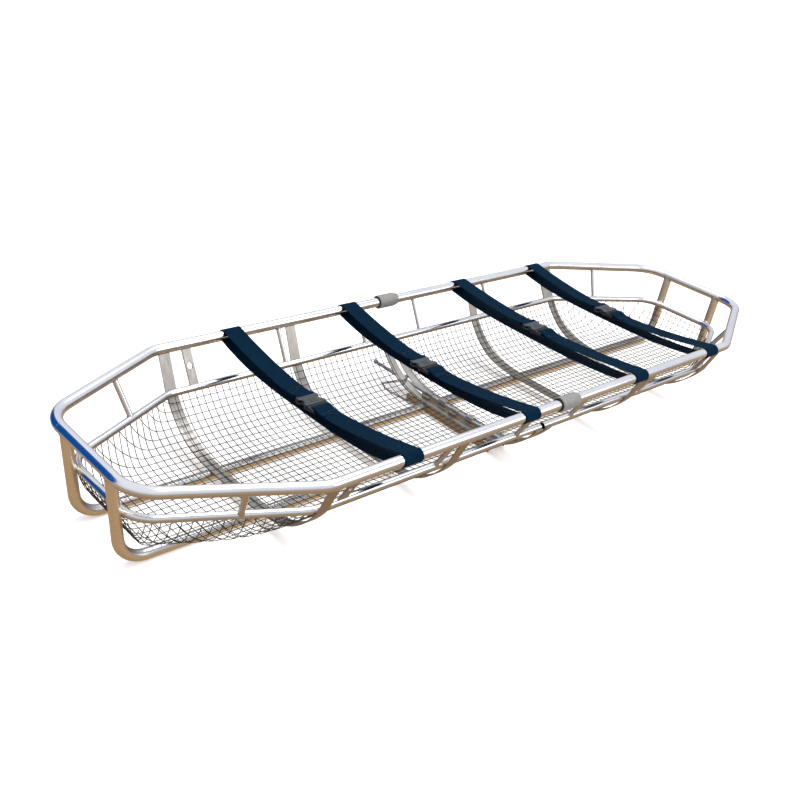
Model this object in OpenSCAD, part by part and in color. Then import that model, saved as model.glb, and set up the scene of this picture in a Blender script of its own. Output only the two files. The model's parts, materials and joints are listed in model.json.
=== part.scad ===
// Two-piece basket stretcher: a steel-tube frame with a pressed wire-mesh bed,
// four buckled straps, two rail collars and one lock rod.
// X runs along the length (foot end at -X), Y across, Z up; the runners stand on Z = 0.

/* [Rails] */
// Overall length over the end bars
overall_length = 2161; // [1900:1:2300]
// Overall width over the top rail tubes
overall_width = 698; // [600:1:740]
// Height of the top rail's centre above the ground
rail_z = 229; // [215:1:240]
// Outside diameter of the top rail
rail_d = 26; // [25:0.5:28]
// Wall of the top rail
rail_wall = 1.2; // [1:0.1:2.5]
// Half width of the straight end bar
end_half = 168; // [150:1:190]
// Distance from the middle to where the sides start to taper
side_half = 731; // [725:1:740]

/* [Lower rail] */
// Height of the lower rail's centre
lower_z = 135; // [130:1:140]
// Outside diameter of the lower rail
lower_d = 18; // [16:0.5:19]
// Wall of the lower rail
lower_wall = 1.2; // [1:0.1:2]
// Half width between the lower rail's centres
lower_half_width = 282; // [270:1:285]
// Distance from the middle to the centre of the lower end bar
lower_half_length = 1041; // [1036:1:1043]
// Half width of the lower end bar
lower_end_half = 127; // [118:1:135]

/* [Runners and ribs] */
// Diameter of the leg and runner tubes
runner_d = 25; // [22:0.5:25]
// Distance from the centre line to each runner
runner_y = 93; // [85:1:100]
// Radius of the bend between leg and runner
leg_bend = 66; // [55:1:75]
// How far each leg leans in from top to bottom
leg_lean = 22; // [16:1:24]
// Width of the flat rib bars
rib_w = 30; // [24:1:30]
// Thickness of the flat rib bars
rib_t = 3; // [2.5:0.5:3]
// Diameter of the upright rods between the rails
post_d = 12; // [8:0.5:14]

/* [Coupling] */
// Outside diameter of the rail collars
collar_d = 38; // [36:0.5:42]
// Length of the rail collars
collar_len = 68; // [60:1:74]
// Diameter of the lock rod
lock_rod_d = 10; // [8:0.5:10]
// Clearance on the radius of a running fit
fit_gap = 0.05; // [0.02:0.01:0.1]

/* [Straps] */
// Width of the webbing
web_w = 52; // [45:1:55]
// Thickness of one layer of webbing
web_t = 2.4; // [2:0.1:3]
// Width of a buckle
buckle_w = 62; // [58:1:66]

/* [Hidden] */
$fn = 48;

FOOT = -1;
HEAD = 1;
NEAR = -1;
FAR = 1;

bend_lap = 0.8;
bend_swell = 0.4;
rail_half_length = (overall_length - rail_d - bend_swell) / 2;
rail_half_width = (overall_width - rail_d) / 2;
runner_z = (runner_d + bend_swell) / 2;
rail_bore = rail_d - 2 * rail_wall;
side_bend = 80;
end_bend = 95;
lower_side_half = 717;
split_gap = 0.3;
lower_end_bend = 80;

// Split frames: flat bars on both sides of the lock rod
frame_gap = 6;
frame_w = 26;
frame_out = frame_gap + frame_w;
frame_t = 3;
chord_half = 160;
chord_bottom = 3;

// Ribs run outside the lower rail and dip between the runners that they lie on
rib_half = lower_half_width + lower_d / 2 + rib_t / 2 + 2.3;
rib_dip = 1;
rib_floor = runner_z + runner_d / 2 + rib_t / 2 - rib_dip;
bed_power = 4;
rib_steps = 20;
foot_outer_rib_x = -704;
foot_inner_rib_x = -331;
head_inner_rib_x = 350;
head_outer_rib_x = 712;

// Mesh bed
mesh_t = 0.8;
mesh_floor = runner_d + rib_t + 0.3;
mesh_rise = lower_z - mesh_floor;
mesh_start = 30;
mesh_gap = lower_d / 2 + 2.6;
mesh_end = lower_half_length - mesh_gap;
end_run = 150;
end_power = 6;
corner_run = 150;
corner_power = 6;
blend_power = 6;
mesh_columns = 26;

// Upright rods
corner_post_top_x = 872;
corner_post_low_x = 850;
foot_post_xs = [-370, -97];
head_post_xs = [110, 405];

// Lifting eyes
foot_eye_x = -645;
head_eye_x = 680;
eye_hole_r = 8;
eye_t = 5;
eye_top = 12;
eye_foot = 11.5;

// Lock rod
rod_z = 38;
rod_near_y = -172;
rod_far_y = 330;
guide_len = 24;
guide_d = 16;
guide_foot_x = -16;
guide_foot_w = 11;
guide_bite = 0.5;
fork_slot = 0.4;
fork_prong = 2.6;
foot_guide_ys = [-105, 0, 105];
head_fork_ys = [-52, 52];

// Straps: X place, middle height of the upper layer, sag of the lower layer, buckle's Y place
STRAPS = [
    [-512, 198, 181, -8],
    [-132, 200, 186, 12],
    [302, 218, 195, 14],
    [640, 208, 191, 18]
];
loop_r = rail_d / 2 + 0.5 + web_t / 2;
loop_angle = 14;
upper_power = 1.8;
lower_power = 3;
web_steps = 24;

// Buckle
socket_len = 46;
tongue_len = 24;
buckle_t = 13;
buckle_lift = 1.5;
buckle_wall = 2.4;
prong_len = 30;
web_end_gap = 0.4;

// ---------------------------------------------------------------- helpers

function heading(a, b) = atan2(b[1] - a[1], b[0] - a[0]);
function turn(a, b, c) =
    let (t = heading(b, c) - heading(a, b)) t > 180 ? t - 360 : t < -180 ? t + 360 : t;
function tangent_length(pts, radii, i) =
    i == 0 || i == len(pts) - 1 ? 0 : radii[i] * tan(abs(turn(pts[i - 1], pts[i], pts[i + 1])) / 2);

// The path with both ends pushed outwards, for cutting a bore right through
function stretched(pts, extra) = [for (i = [0:len(pts) - 1])
    i == 0 ? pts[0] - extra * (pts[1] - pts[0]) / norm(pts[1] - pts[0])
    : i == len(pts) - 1 ? pts[i] + extra * (pts[i] - pts[i - 1]) / norm(pts[i] - pts[i - 1])
    : pts[i]];

// A round bar bent in the XY plane: straight stretches lap into slightly fuller bends
module bent_bar(pts, radii, d) {
    last = len(pts) - 1;
    for (i = [0:last - 1]) {
        h = heading(pts[i], pts[i + 1]);
        t0 = i == 0 ? 0 : tangent_length(pts, radii, i) - bend_lap;
        t1 = i == last - 1 ? 0 : tangent_length(pts, radii, i + 1) - bend_lap;
        translate([pts[i][0] + t0 * cos(h), pts[i][1] + t0 * sin(h), 0])
            rotate([0, 0, h]) rotate([0, 90, 0])
                cylinder(d = d, h = norm(pts[i + 1] - pts[i]) - t0 - t1);
    }
    for (i = [1:last - 1]) {
        s = turn(pts[i - 1], pts[i], pts[i + 1]);
        h = heading(pts[i - 1], pts[i]);
        side = sign(s);
        start = pts[i] - tangent_length(pts, radii, i) * [cos(h), sin(h)];
        centre = start + side * radii[i] * [-sin(h), cos(h)];
        translate([centre[0], centre[1], 0])
            rotate([0, 0, side > 0 ? h - 90 : h + 90 + s])
                rotate_extrude(angle = abs(s)) translate([radii[i], 0]) circle(d = d + bend_swell);
    }
}

// A hollow tube bent in the XY plane, open at both ends
module bent_tube(pts, radii, d, wall) {
    difference() {
        bent_bar(pts, radii, d);
        bent_bar(stretched(pts, 1), radii, d - 2 * wall);
    }
}

// A round bar between two points
module rod(a, b, d) {
    v = b - a;
    translate(a)
        rotate([0, acos(v[2] / norm(v)), atan2(v[1], v[0])]) cylinder(d = d, h = norm(v));
}

// Outline of a flat bar of thickness t along a path
function side_point(path, i, k) =
    let (a = path[max(i - 1, 0)], b = path[min(i + 1, len(path) - 1)], v = (b - a) / norm(b - a))
    path[i] + k * [-v[1], v[0]];
function band(path, t) = concat(
    [for (i = [0:len(path) - 1]) side_point(path, i, t / 2)],
    [for (i = [len(path) - 1:-1:0]) side_point(path, i, -t / 2)]
);

// Stands a YZ outline up and extrudes it along X, centred at x
module along_x(x, w) {
    translate([x - w / 2, 0, 0]) rotate([90, 0, 90]) linear_extrude(w) children();
}

// ---------------------------------------------------------------- rails

// One half of the octagon, from the near side of the split round the end to the far side
function half_octagon(end, start_x, side_x, half_w, half_l, end_w) = [
    [end * start_x, -half_w], [end * side_x, -half_w], [end * half_l, -end_w],
    [end * half_l, end_w], [end * side_x, half_w], [end * start_x, half_w]
];

function top_path(end) =
    half_octagon(end, split_gap, side_half, rail_half_width, rail_half_length, end_half);
top_bends = [0, side_bend, end_bend, end_bend, side_bend, 0];

module top_rail(end) {
    color("#d3d8de") translate([0, 0, rail_z])
        bent_tube(top_path(end), top_bends, rail_d, rail_wall);
}

module lower_rail(end) {
    color("#c4c9cf") difference() {
        translate([0, 0, lower_z])
            bent_tube(
                half_octagon(end, frame_gap, lower_side_half, lower_half_width,
                             lower_half_length, lower_end_half),
                [0, side_bend, lower_end_bend, lower_end_bend, side_bend, 0], lower_d, lower_wall);
        for (side = [NEAR, FAR]) leg_core(end, side);
    }
}

// Solid bars that stand for the rails where other pieces are shaped to meet them
module top_rail_core(end) {
    translate([0, 0, rail_z]) bent_bar(top_path(end), top_bends, rail_d);
}
module top_side_core() {
    for (side = [NEAR, FAR])
        translate([-side_half, side * rail_half_width, rail_z])
            rotate([0, 90, 0]) cylinder(d = rail_d, h = 2 * side_half);
}
module lower_side_core() {
    for (side = [NEAR, FAR])
        translate([-lower_side_half, side * lower_half_width, lower_z])
            rotate([0, 90, 0]) cylinder(d = lower_d, h = 2 * lower_side_half);
}
module corner_core(end, side) {
    rod([end * side_half, side * rail_half_width, rail_z],
        [end * rail_half_length, side * end_half, rail_z], rail_d);
    rod([end * lower_side_half, side * lower_half_width, lower_z],
        [end * lower_half_length, side * lower_end_half, lower_z], lower_d);
}
module end_bar_core(end) {
    rod([end * rail_half_length, -end_half, rail_z], [end * rail_half_length, end_half, rail_z], rail_d);
}
module leg_core(end, side) {
    rod([end * rail_half_length, side * runner_y, rail_z],
        [end * (rail_half_length - leg_lean), side * runner_y, runner_z], runner_d + 0.1);
}

// ---------------------------------------------------------------- runners, ribs and posts

// A leg and a runner in one bent tube, shaped at the top to sit under the end bar
module runner(end, side) {
    color("#c8c4bb") difference() {
        translate([0, side * runner_y, 0]) rotate([90, 0, 0])
            bent_tube([[end * rail_half_length, rail_z],
                       [end * (rail_half_length - leg_lean), runner_z],
                       [end * frame_out, runner_z]],
                      [0, leg_bend, 0], runner_d, rail_wall);
        end_bar_core(end);
    }
}

function rib_height(y) = rib_floor + (lower_z - rib_floor) * pow(abs(y) / rib_half, bed_power);
rib_curve = [for (i = [-rib_steps:rib_steps])
    let (y = rib_half * sin(90 * i / rib_steps)) [y, rib_height(y)]];
rib_top = [rail_half_width - 1.5, rail_z - 4];
rib_path = concat([[-rib_top[0], rib_top[1]]], rib_curve, [rib_top]);

module rib(end, x) {
    color("#b9b6ae") difference() {
        along_x(x, rib_w) polygon(band(rib_path, rib_t));
        top_rail_core(end);
    }
}

// The end of one half: a flat bar under the mesh edge and a chord plate on the runner ends
module frame_band(end) {
    along_x(end * (frame_gap + frame_w / 2), frame_w) polygon(band(rib_curve, frame_t));
}
module split_frame(end) {
    color("#aeb2b8") {
        frame_band(end);
        translate([end * (frame_out - frame_t / 2), 0, (chord_bottom + runner_d) / 2])
            cube([frame_t, 2 * chord_half, runner_d - chord_bottom + 0.02], center = true);
    }
}

module corner_posts(end) {
    top_y = end_half + (rail_half_width - end_half)
        * (rail_half_length - corner_post_top_x) / (rail_half_length - side_half);
    low_y = lower_end_half + (lower_half_width - lower_end_half)
        * (lower_half_length - corner_post_low_x) / (lower_half_length - lower_side_half);
    color("#c3c6ca") for (side = [NEAR, FAR]) difference() {
        rod([end * corner_post_top_x, side * top_y, rail_z],
            [end * corner_post_low_x, side * low_y, lower_z], post_d + 2);
        corner_core(end, side);
    }
}

module side_posts(xs) {
    color("#b7b5ae") for (x = xs, side = [NEAR, FAR]) difference() {
        rod([x, side * rail_half_width, rail_z], [x, side * lower_half_width, lower_z], post_d);
        top_side_core();
        lower_side_core();
    }
}

// A plate with one hole between the rails, for a lifting bridle
eye_lean = atan2(rail_half_width - lower_half_width, rail_z - lower_z);
eye_y = (rail_half_width + lower_half_width) / 2;
eye_z = (rail_z + lower_z) / 2;
eye_height = norm([rail_half_width - lower_half_width, rail_z - lower_z]);

module lifting_eye(x, side) {
    color("#bcbfc3") difference() {
        translate([x, side * eye_y, eye_z]) rotate([90 - side * eye_lean, 0, 0])
            difference() {
                linear_extrude(eye_t, center = true)
                    polygon([[-eye_top, eye_height / 2], [eye_top, eye_height / 2],
                             [eye_foot, -eye_height / 2], [-eye_foot, -eye_height / 2]]);
                translate([0, 0, -eye_t]) cylinder(r = eye_hole_r, h = 2 * eye_t);
            }
        top_side_core();
        lower_side_core();
    }
}

// ---------------------------------------------------------------- mesh bed

corner_v = [lower_half_width - lower_end_half, lower_half_length - lower_side_half];
corner_n = corner_v / norm(corner_v);
corner_c = corner_n * [lower_side_half, lower_half_width];

// Half width of the bed at x: it keeps mesh_gap inside the lower rail's side, taper and end bend
end_turn = atan2(corner_n[1], corner_n[0]);
arc_x = lower_half_length - lower_end_bend;
arc_y = lower_end_half - lower_end_bend * tan(end_turn / 2);
arc_r = lower_end_bend - mesh_gap;
function bed_half_at(x) =
    x <= lower_side_half ? lower_half_width - mesh_gap
    : x <= arc_x + arc_r * corner_n[0] ? (corner_c - mesh_gap - corner_n[0] * x) / corner_n[1]
    : arc_y + sqrt(max(0, arc_r * arc_r - (x - arc_x) * (x - arc_x)));

// How far the bed has risen at (x, y): 0 on the floor, 1 at the lower rail
function side_rise(y) = pow(abs(y) / lower_half_width, bed_power);
function end_rise(x) = pow(max(0, (abs(x) - lower_half_length + end_run) / end_run), end_power);
function corner_rise(x, y) =
    pow(max(0, 1 - (corner_c - corner_n * [abs(x), abs(y)]) / corner_run), corner_power);
function bed_rise(x, y) = min(1, pow(pow(side_rise(y), blend_power) + pow(end_rise(x), blend_power)
    + pow(corner_rise(x, y), blend_power), 1 / blend_power));
function bed_height(x, y) = mesh_floor + mesh_rise * bed_rise(x, y);

mesh_xs = concat(
    [for (i = [0:7]) mesh_start + (lower_side_half - mesh_start) * i / 8],
    [for (i = [0:13]) lower_side_half + (mesh_end - lower_side_half) * (1 - pow(1 - i / 13, 1.5))]
);

// The bed's true outer form as one thin closed shell
module mesh_bed(end) {
    rows = len(mesh_xs);
    cols = mesh_columns + 1;
    points = [for (layer = [0, 1], x = mesh_xs, j = [0:mesh_columns])
        let (y = bed_half_at(x) * sin(90 * (2 * j / mesh_columns - 1)))
        [end * x, y, bed_height(x, y) + layer * mesh_t]];
    function at(layer, i, j) = layer * rows * cols + i * cols + j;
    top = [for (i = [0:rows - 2], j = [0:cols - 2], k = [0, 1])
        k == 0 ? [at(1, i, j), at(1, i, j + 1), at(1, i + 1, j + 1)]
               : [at(1, i, j), at(1, i + 1, j + 1), at(1, i + 1, j)]];
    bottom = [for (i = [0:rows - 2], j = [0:cols - 2], k = [0, 1])
        k == 0 ? [at(0, i, j), at(0, i + 1, j + 1), at(0, i, j + 1)]
               : [at(0, i, j), at(0, i + 1, j), at(0, i + 1, j + 1)]];
    ends = [for (i = [0, rows - 1], j = [0:cols - 2], k = [0, 1])
        let (a = at(0, i, j), b = at(0, i, j + 1), c = at(1, i, j + 1), d = at(1, i, j))
        i == 0 ? (k == 0 ? [a, b, c] : [a, c, d]) : (k == 0 ? [a, c, b] : [a, d, c])];
    sides = [for (j = [0, cols - 1], i = [0:rows - 2], k = [0, 1])
        let (a = at(0, i, j), b = at(0, i + 1, j), c = at(1, i + 1, j), d = at(1, i, j))
        j == 0 ? (k == 0 ? [a, c, b] : [a, d, c]) : (k == 0 ? [a, b, c] : [a, c, d])];
    faces = concat(top, bottom, ends, sides);
    color("#9ea3a8")
        polyhedron(points, end > 0 ? [for (f = faces) [f[2], f[1], f[0]]] : faces);
}

// ---------------------------------------------------------------- coupling

// A tube fixed in the head half's rail, which slides into the foot half's rail
module spigot(side) {
    color("#9a9fa5") translate([0, side * rail_half_width, rail_z]) rotate([0, 90, 0]) {
        difference() {
            union() {
                translate([0, 0, -45]) cylinder(d = rail_bore - 2 * fit_gap, h = 45 + split_gap);
                translate([0, 0, split_gap]) cylinder(d = rail_bore, h = 40);
            }
            translate([0, 0, -50]) cylinder(d = rail_bore - 5, h = 100);
        }
    }
}

// Sleeve over the rail joint: a wide mouth towards the foot, a taper towards the head
module collar(side) {
    start = -24;
    mouth_d = rail_d + 6;
    mouth_depth = 9;
    taper = 14;
    color("#a9abad") translate([start, side * rail_half_width, rail_z]) rotate([0, 90, 0])
        rotate_extrude() polygon([
            [mouth_d / 2, 0], [collar_d / 2 - 1, 0], [collar_d / 2, 1],
            [collar_d / 2, collar_len - taper], [rail_d / 2 + 3, collar_len],
            [rail_d / 2 + fit_gap, collar_len], [rail_d / 2 + fit_gap, mouth_depth],
            [mouth_d / 2, mouth_depth]]);
}

module lock_rod() {
    color("#56606e") translate([0, rod_near_y, rod_z]) rotate([-90, 0, 0]) {
        cylinder(d = lock_rod_d, h = rod_far_y - rod_near_y);
        translate([0, 0, -4]) cylinder(d1 = lock_rod_d - 5, d2 = lock_rod_d, h = 4);
    }
}

module lock_rod_cap() {
    color("#3c434d") translate([0, rod_far_y, rod_z]) rotate([-90, 0, 0])
        rotate_extrude() polygon([[0, 0], [6, 0], [6.5, 0.5], [6.5, 7], [5, 9], [0, 9]]);
}

// Three eyes on the foot half's split frame that hold the lock rod
module rod_guides() {
    color("#a4a8ae") for (y = foot_guide_ys) difference() {
        union() {
            translate([0, y, rod_z]) rotate([90, 0, 0])
                cylinder(d = guide_d, h = guide_len, center = true);
            translate([guide_foot_x, y - guide_len / 2, rib_height(y) + guide_bite])
                cube([guide_foot_w, guide_len, rod_z - rib_height(y) - 3 * guide_bite]);
        }
        translate([0, y, rod_z]) rotate([90, 0, 0])
            cylinder(d = lock_rod_d + 2 * fit_gap, h = guide_len + 2, center = true);
        frame_band(FOOT);
    }
}

// Two forks on the head half's split frame, open towards the foot, that straddle the lock rod
module rod_forks() {
    slot = lock_rod_d / 2 + fork_slot;
    color("#a4a8ae") for (y = head_fork_ys) difference() {
        base = rib_height(y) + guide_bite - rod_z;
        translate([0, y, rod_z]) rotate([90, 0, 0]) linear_extrude(guide_len, center = true)
            polygon([[-4, slot], [6.5, slot], [6.5, -slot], [-4, -slot], [-4, -slot - fork_prong],
                     [7, -slot - fork_prong], [7, base], [16, base], [12, slot + fork_prong],
                     [-4, slot + fork_prong]]);
        frame_band(HEAD);
    }
}

// Chain of round links from a ring on the lock rod to a ring on the far runner
link_r = 3.1;
link_wire = 1.5;
link_step = 4.6;
chain_ring_r = 8.2;
chain_points = [
    [0, 210, 50], [0, 197, 53], [-14, 187, 54], [-32, 183, 53], [-64, 188, 56],
    [-101, 193, 58], [-104, 176, 51], [-91, 143, 42], [-81, 120, 38], [-72, 105, 36]
];

module chain_link(at, v, k) {
    translate(at) rotate([0, acos(v[2] / norm(v)), atan2(v[1], v[0])])
        rotate([90, 0, 90 * (k % 2)]) rotate_extrude() translate([link_r, 0]) circle(d = link_wire);
}

module lanyard_chain() {
    color("#8c9198") {
        translate([0, chain_points[0][1], rod_z]) rotate([90, 0, 0])
            rotate_extrude() translate([chain_ring_r, 0]) circle(d = link_wire);
        for (s = [0:len(chain_points) - 2]) {
            a = chain_points[s];
            v = chain_points[s + 1] - a;
            count = round(norm(v) / link_step);
            for (k = [0:count - 1]) chain_link(a + v * (k / count), v, k + s);
        }
    }
}

// ---------------------------------------------------------------- straps

function layer_height(y, middle, rail_end, power, end_y) =
    middle + (rail_end - middle) * pow(abs(y) / end_y, power);
loop_y = rail_half_width - loop_r * sin(loop_angle);
loop_top = rail_z + loop_r * cos(loop_angle);
loop_bottom = rail_z - loop_r * cos(loop_angle);
function upper_height(s, y) = layer_height(y, s[1], loop_top, upper_power, loop_y);
function lower_height(s, y) = layer_height(y, s[2], loop_bottom, lower_power, loop_y);

// One side of the strap: from the buckle over the rail and back under to the middle
function web_path(s, side) =
    let (start = s[3] + side * (socket_len / 2 + tongue_len / 2 + web_end_gap))
    concat(
        [for (i = [0:web_steps]) let (y = start + (side * loop_y - start) * i / web_steps)
            [y, upper_height(s, y)]],
        [for (a = [90 + loop_angle - 14:-14:-90 - loop_angle + 14])
            [side * (rail_half_width + loop_r * cos(a)), rail_z + loop_r * sin(a)]],
        [for (i = [0:web_steps]) let (y = side * loop_y * (1 - i / web_steps))
            [y, lower_height(s, y)]]
    );

module webbing(s) {
    near = web_path(s, NEAR);
    far = web_path(s, FAR);
    path = concat(near, [for (i = [len(far) - 2:-1:0]) far[i]]);
    color("#10243f") along_x(s[0], web_w) polygon(band(path, web_t));
}

// Places a buckle piece on its strap: local Y runs along the strap, 0 at the socket's mouth
module on_strap(s) {
    mouth_y = s[3] - (socket_len - tongue_len) / 2;
    translate([s[0], mouth_y, upper_height(s, s[3]) + buckle_lift]) children();
}

module buckle_socket(s) {
    cavity_w = buckle_w - 2 * buckle_wall - 4;
    color("#2a2d31") on_strap(s) difference() {
        translate([0, 0, -buckle_t / 2]) linear_extrude(buckle_t)
            polygon([[-buckle_w / 2 + 3, 0], [buckle_w / 2 - 3, 0], [buckle_w / 2, 6],
                     [buckle_w / 2, socket_len - 12], [buckle_w / 2 - 4, socket_len],
                     [-buckle_w / 2 + 4, socket_len], [-buckle_w / 2, socket_len - 12],
                     [-buckle_w / 2, 6]]);
        translate([-cavity_w / 2, -1, -buckle_t / 2 + buckle_wall])
            cube([cavity_w, prong_len + 4, buckle_t - 2 * buckle_wall]);
        for (side = [-1, 1]) translate([side * (buckle_w / 2 + 1), 21, -buckle_t])
            cylinder(r = 9.5, h = 2 * buckle_t);
        translate([-web_w / 2 - 1, socket_len - 8, -buckle_t]) cube([web_w + 2, 4.5, 2 * buckle_t]);
    }
}

module buckle_tongue(s) {
    color("#2a2d31") on_strap(s) {
        difference() {
            translate([-buckle_w / 2 + 2, -tongue_len, -4.5]) cube([buckle_w - 4, tongue_len - 0.5, 9]);
            translate([-web_w / 2, -tongue_len + 4, -buckle_t]) cube([web_w, 4.5, 2 * buckle_t]);
            translate([-web_w / 2, -tongue_len + 12, -buckle_t]) cube([web_w, 4.5, 2 * buckle_t]);
        }
        translate([-5, -0.6, -3.4]) cube([10, prong_len, 6.8]);
    }
}

// A springy side arm with the pad that is squeezed; side -1 is left, 1 is right
module buckle_prong(s, side) {
    root_x = 17;
    color("#34373b") on_strap(s) translate([0, 0, -3.4]) linear_extrude(6.8) polygon([
        [side * root_x, 0], [side * (root_x + 4.4), 0], [side * (root_x + 4.4), 12],
        [side * 24, 13], [side * 25.5, 17], [side * 25, 24], [side * 19.5, prong_len],
        [side * 17, prong_len], [side * 17, 12]]);
}

// ---------------------------------------------------------------- nodes

top_rail(FOOT);  // foot_top_rail
lower_rail(FOOT);  // foot_lower_rail
runner(FOOT, NEAR);  // foot_near_runner
runner(FOOT, FAR);  // foot_far_runner
rib(FOOT, foot_outer_rib_x);  // foot_outer_rib
rib(FOOT, foot_inner_rib_x);  // foot_inner_rib
split_frame(FOOT);  // foot_split_frame
corner_posts(FOOT);  // foot_corner_posts
side_posts(foot_post_xs);  // foot_side_posts
lifting_eye(foot_eye_x, NEAR);  // foot_near_lifting_eye
lifting_eye(foot_eye_x, FAR);  // foot_far_lifting_eye
mesh_bed(FOOT);  // foot_mesh
rod_guides();  // foot_rod_guides
lanyard_chain();
top_rail(HEAD);  // head_top_rail
lower_rail(HEAD);  // head_lower_rail
runner(HEAD, NEAR);  // head_near_runner
runner(HEAD, FAR);  // head_far_runner
rib(HEAD, head_outer_rib_x);  // head_outer_rib
rib(HEAD, head_inner_rib_x);  // head_inner_rib
split_frame(HEAD);  // head_split_frame
corner_posts(HEAD);  // head_corner_posts
side_posts(head_post_xs);  // head_side_posts
lifting_eye(head_eye_x, NEAR);  // head_near_lifting_eye
lifting_eye(head_eye_x, FAR);  // head_far_lifting_eye
mesh_bed(HEAD);  // head_mesh
rod_forks();  // head_rod_forks
spigot(NEAR);  // near_spigot
spigot(FAR);  // far_spigot
collar(NEAR);  // near_collar
collar(FAR);  // far_collar
lock_rod();
lock_rod_cap();
webbing(STRAPS[0]);  // strap_1_webbing
buckle_socket(STRAPS[0]);  // strap_1_buckle_socket
buckle_tongue(STRAPS[0]);  // strap_1_buckle_tongue
buckle_prong(STRAPS[0], -1);  // strap_1_left_prong
buckle_prong(STRAPS[0], 1);  // strap_1_right_prong
webbing(STRAPS[1]);  // strap_2_webbing
buckle_socket(STRAPS[1]);  // strap_2_buckle_socket
buckle_tongue(STRAPS[1]);  // strap_2_buckle_tongue
buckle_prong(STRAPS[1], -1);  // strap_2_left_prong
buckle_prong(STRAPS[1], 1);  // strap_2_right_prong
webbing(STRAPS[2]);  // strap_3_webbing
buckle_socket(STRAPS[2]);  // strap_3_buckle_socket
buckle_tongue(STRAPS[2]);  // strap_3_buckle_tongue
buckle_prong(STRAPS[2], -1);  // strap_3_left_prong
buckle_prong(STRAPS[2], 1);  // strap_3_right_prong
webbing(STRAPS[3]);  // strap_4_webbing
buckle_socket(STRAPS[3]);  // strap_4_buckle_socket
buckle_tongue(STRAPS[3]);  // strap_4_buckle_tongue
buckle_prong(STRAPS[3], -1);  // strap_4_left_prong
buckle_prong(STRAPS[3], 1);  // strap_4_right_prong
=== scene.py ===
"""Rescue stretcher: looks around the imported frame. Lengths in MM are millimetres times MM."""
import json
import math

import bpy
import numpy as np
from mathutils import Matrix, Vector


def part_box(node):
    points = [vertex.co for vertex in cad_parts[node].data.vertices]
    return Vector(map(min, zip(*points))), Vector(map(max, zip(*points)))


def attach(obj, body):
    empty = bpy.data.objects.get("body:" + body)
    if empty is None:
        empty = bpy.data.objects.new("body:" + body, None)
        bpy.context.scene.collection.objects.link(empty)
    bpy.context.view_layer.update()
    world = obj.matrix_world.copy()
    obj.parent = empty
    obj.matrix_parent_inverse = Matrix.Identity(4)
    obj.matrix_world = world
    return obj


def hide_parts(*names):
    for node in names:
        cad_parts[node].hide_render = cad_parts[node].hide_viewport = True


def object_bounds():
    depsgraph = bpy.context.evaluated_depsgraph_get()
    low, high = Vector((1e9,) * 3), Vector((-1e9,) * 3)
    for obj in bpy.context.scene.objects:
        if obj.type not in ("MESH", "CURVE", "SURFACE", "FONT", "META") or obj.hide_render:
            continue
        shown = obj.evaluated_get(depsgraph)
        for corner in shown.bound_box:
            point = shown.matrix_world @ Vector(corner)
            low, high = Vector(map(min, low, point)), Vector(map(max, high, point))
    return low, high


MM = 0.001
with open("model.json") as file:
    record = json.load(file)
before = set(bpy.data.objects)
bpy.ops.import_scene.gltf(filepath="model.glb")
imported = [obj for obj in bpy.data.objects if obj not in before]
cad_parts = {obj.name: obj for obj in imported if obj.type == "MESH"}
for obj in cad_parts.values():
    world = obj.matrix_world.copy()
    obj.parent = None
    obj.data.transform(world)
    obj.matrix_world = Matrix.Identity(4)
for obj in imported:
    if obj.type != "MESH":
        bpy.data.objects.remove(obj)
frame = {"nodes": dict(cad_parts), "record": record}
cad_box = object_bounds()

# Bed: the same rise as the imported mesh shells, in metres
RAIL_Z = 229 * MM
RAIL_R = 13 * MM
RAIL_HALF_WIDTH = 336 * MM
LOWER_HALF_WIDTH = 282 * MM
LOWER_HALF_LENGTH = 1041 * MM
LOWER_END_HALF = 127 * MM
LOWER_SIDE_HALF = 717 * MM
LOWER_Z = 135 * MM
LOWER_R = 9 * MM
END_HALF = 168 * MM
SIDE_HALF = 731 * MM
RAIL_HALF_LENGTH = cad_box[1][0] - 13.2 * MM
RUNNER_R = 12.5 * MM
RUNNER_Y = 93 * MM
LEG_LEAN = 22 * MM
POST_R = 6 * MM
POST_XS = {"foot": (-370 * MM, -97 * MM), "head": (110 * MM, 405 * MM)}
CORNER_POST_R = 7 * MM
CORNER_POST_XS = (872 * MM, 850 * MM)
LOWER_END_BEND = 80 * MM
BED_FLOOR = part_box("foot_mesh")[0][2]
BED_RISE = LOWER_Z - BED_FLOOR
BED_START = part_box("head_mesh")[0][0]
BED_POWER = 4
END_RUN = 150 * MM
END_POWER = 6
CORNER_RUN = 150 * MM
CORNER_POWER = 6
BLEND_POWER = 6
WIRE_PITCH = 19 * MM
WIRE_R = 0.95 * MM
WIRE_INSET = 0.5 * MM
WIRE_STEP = 9 * MM
WIRE_SIDES = 6

# Straps: middle height of the upper layer, middle height of the lower layer, buckle's Y place
STRAPS = {
    1: (198 * MM, 181 * MM, -8 * MM),
    2: (200 * MM, 186 * MM, 12 * MM),
    3: (218 * MM, 195 * MM, 14 * MM),
    4: (208 * MM, 191 * MM, 18 * MM),
}
WEB_T = 2.0 * MM
LOOP_R = RAIL_R + 0.5 * MM + 1.2 * MM
LOOP_ANGLE = math.radians(14)
UPPER_POWER = 1.8
LOWER_POWER = 3
SOCKET_LEN = 46 * MM
TONGUE_LEN = 24 * MM
BUCKLE_LIFT = 1.5 * MM
WEB_END_GAP = 0.4 * MM


# Studio
FLOOR_SIZE = 60
DOME_RADIUS = 28
BLUE_SKY = (-0.45, 0.87, 0.17)

# ---------------------------------------------------------------- node helpers


def new_material(name):
    mat = bpy.data.materials.new(name)
    mat.use_nodes = True
    return mat, mat.node_tree, mat.node_tree.nodes["Principled BSDF"]


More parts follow.
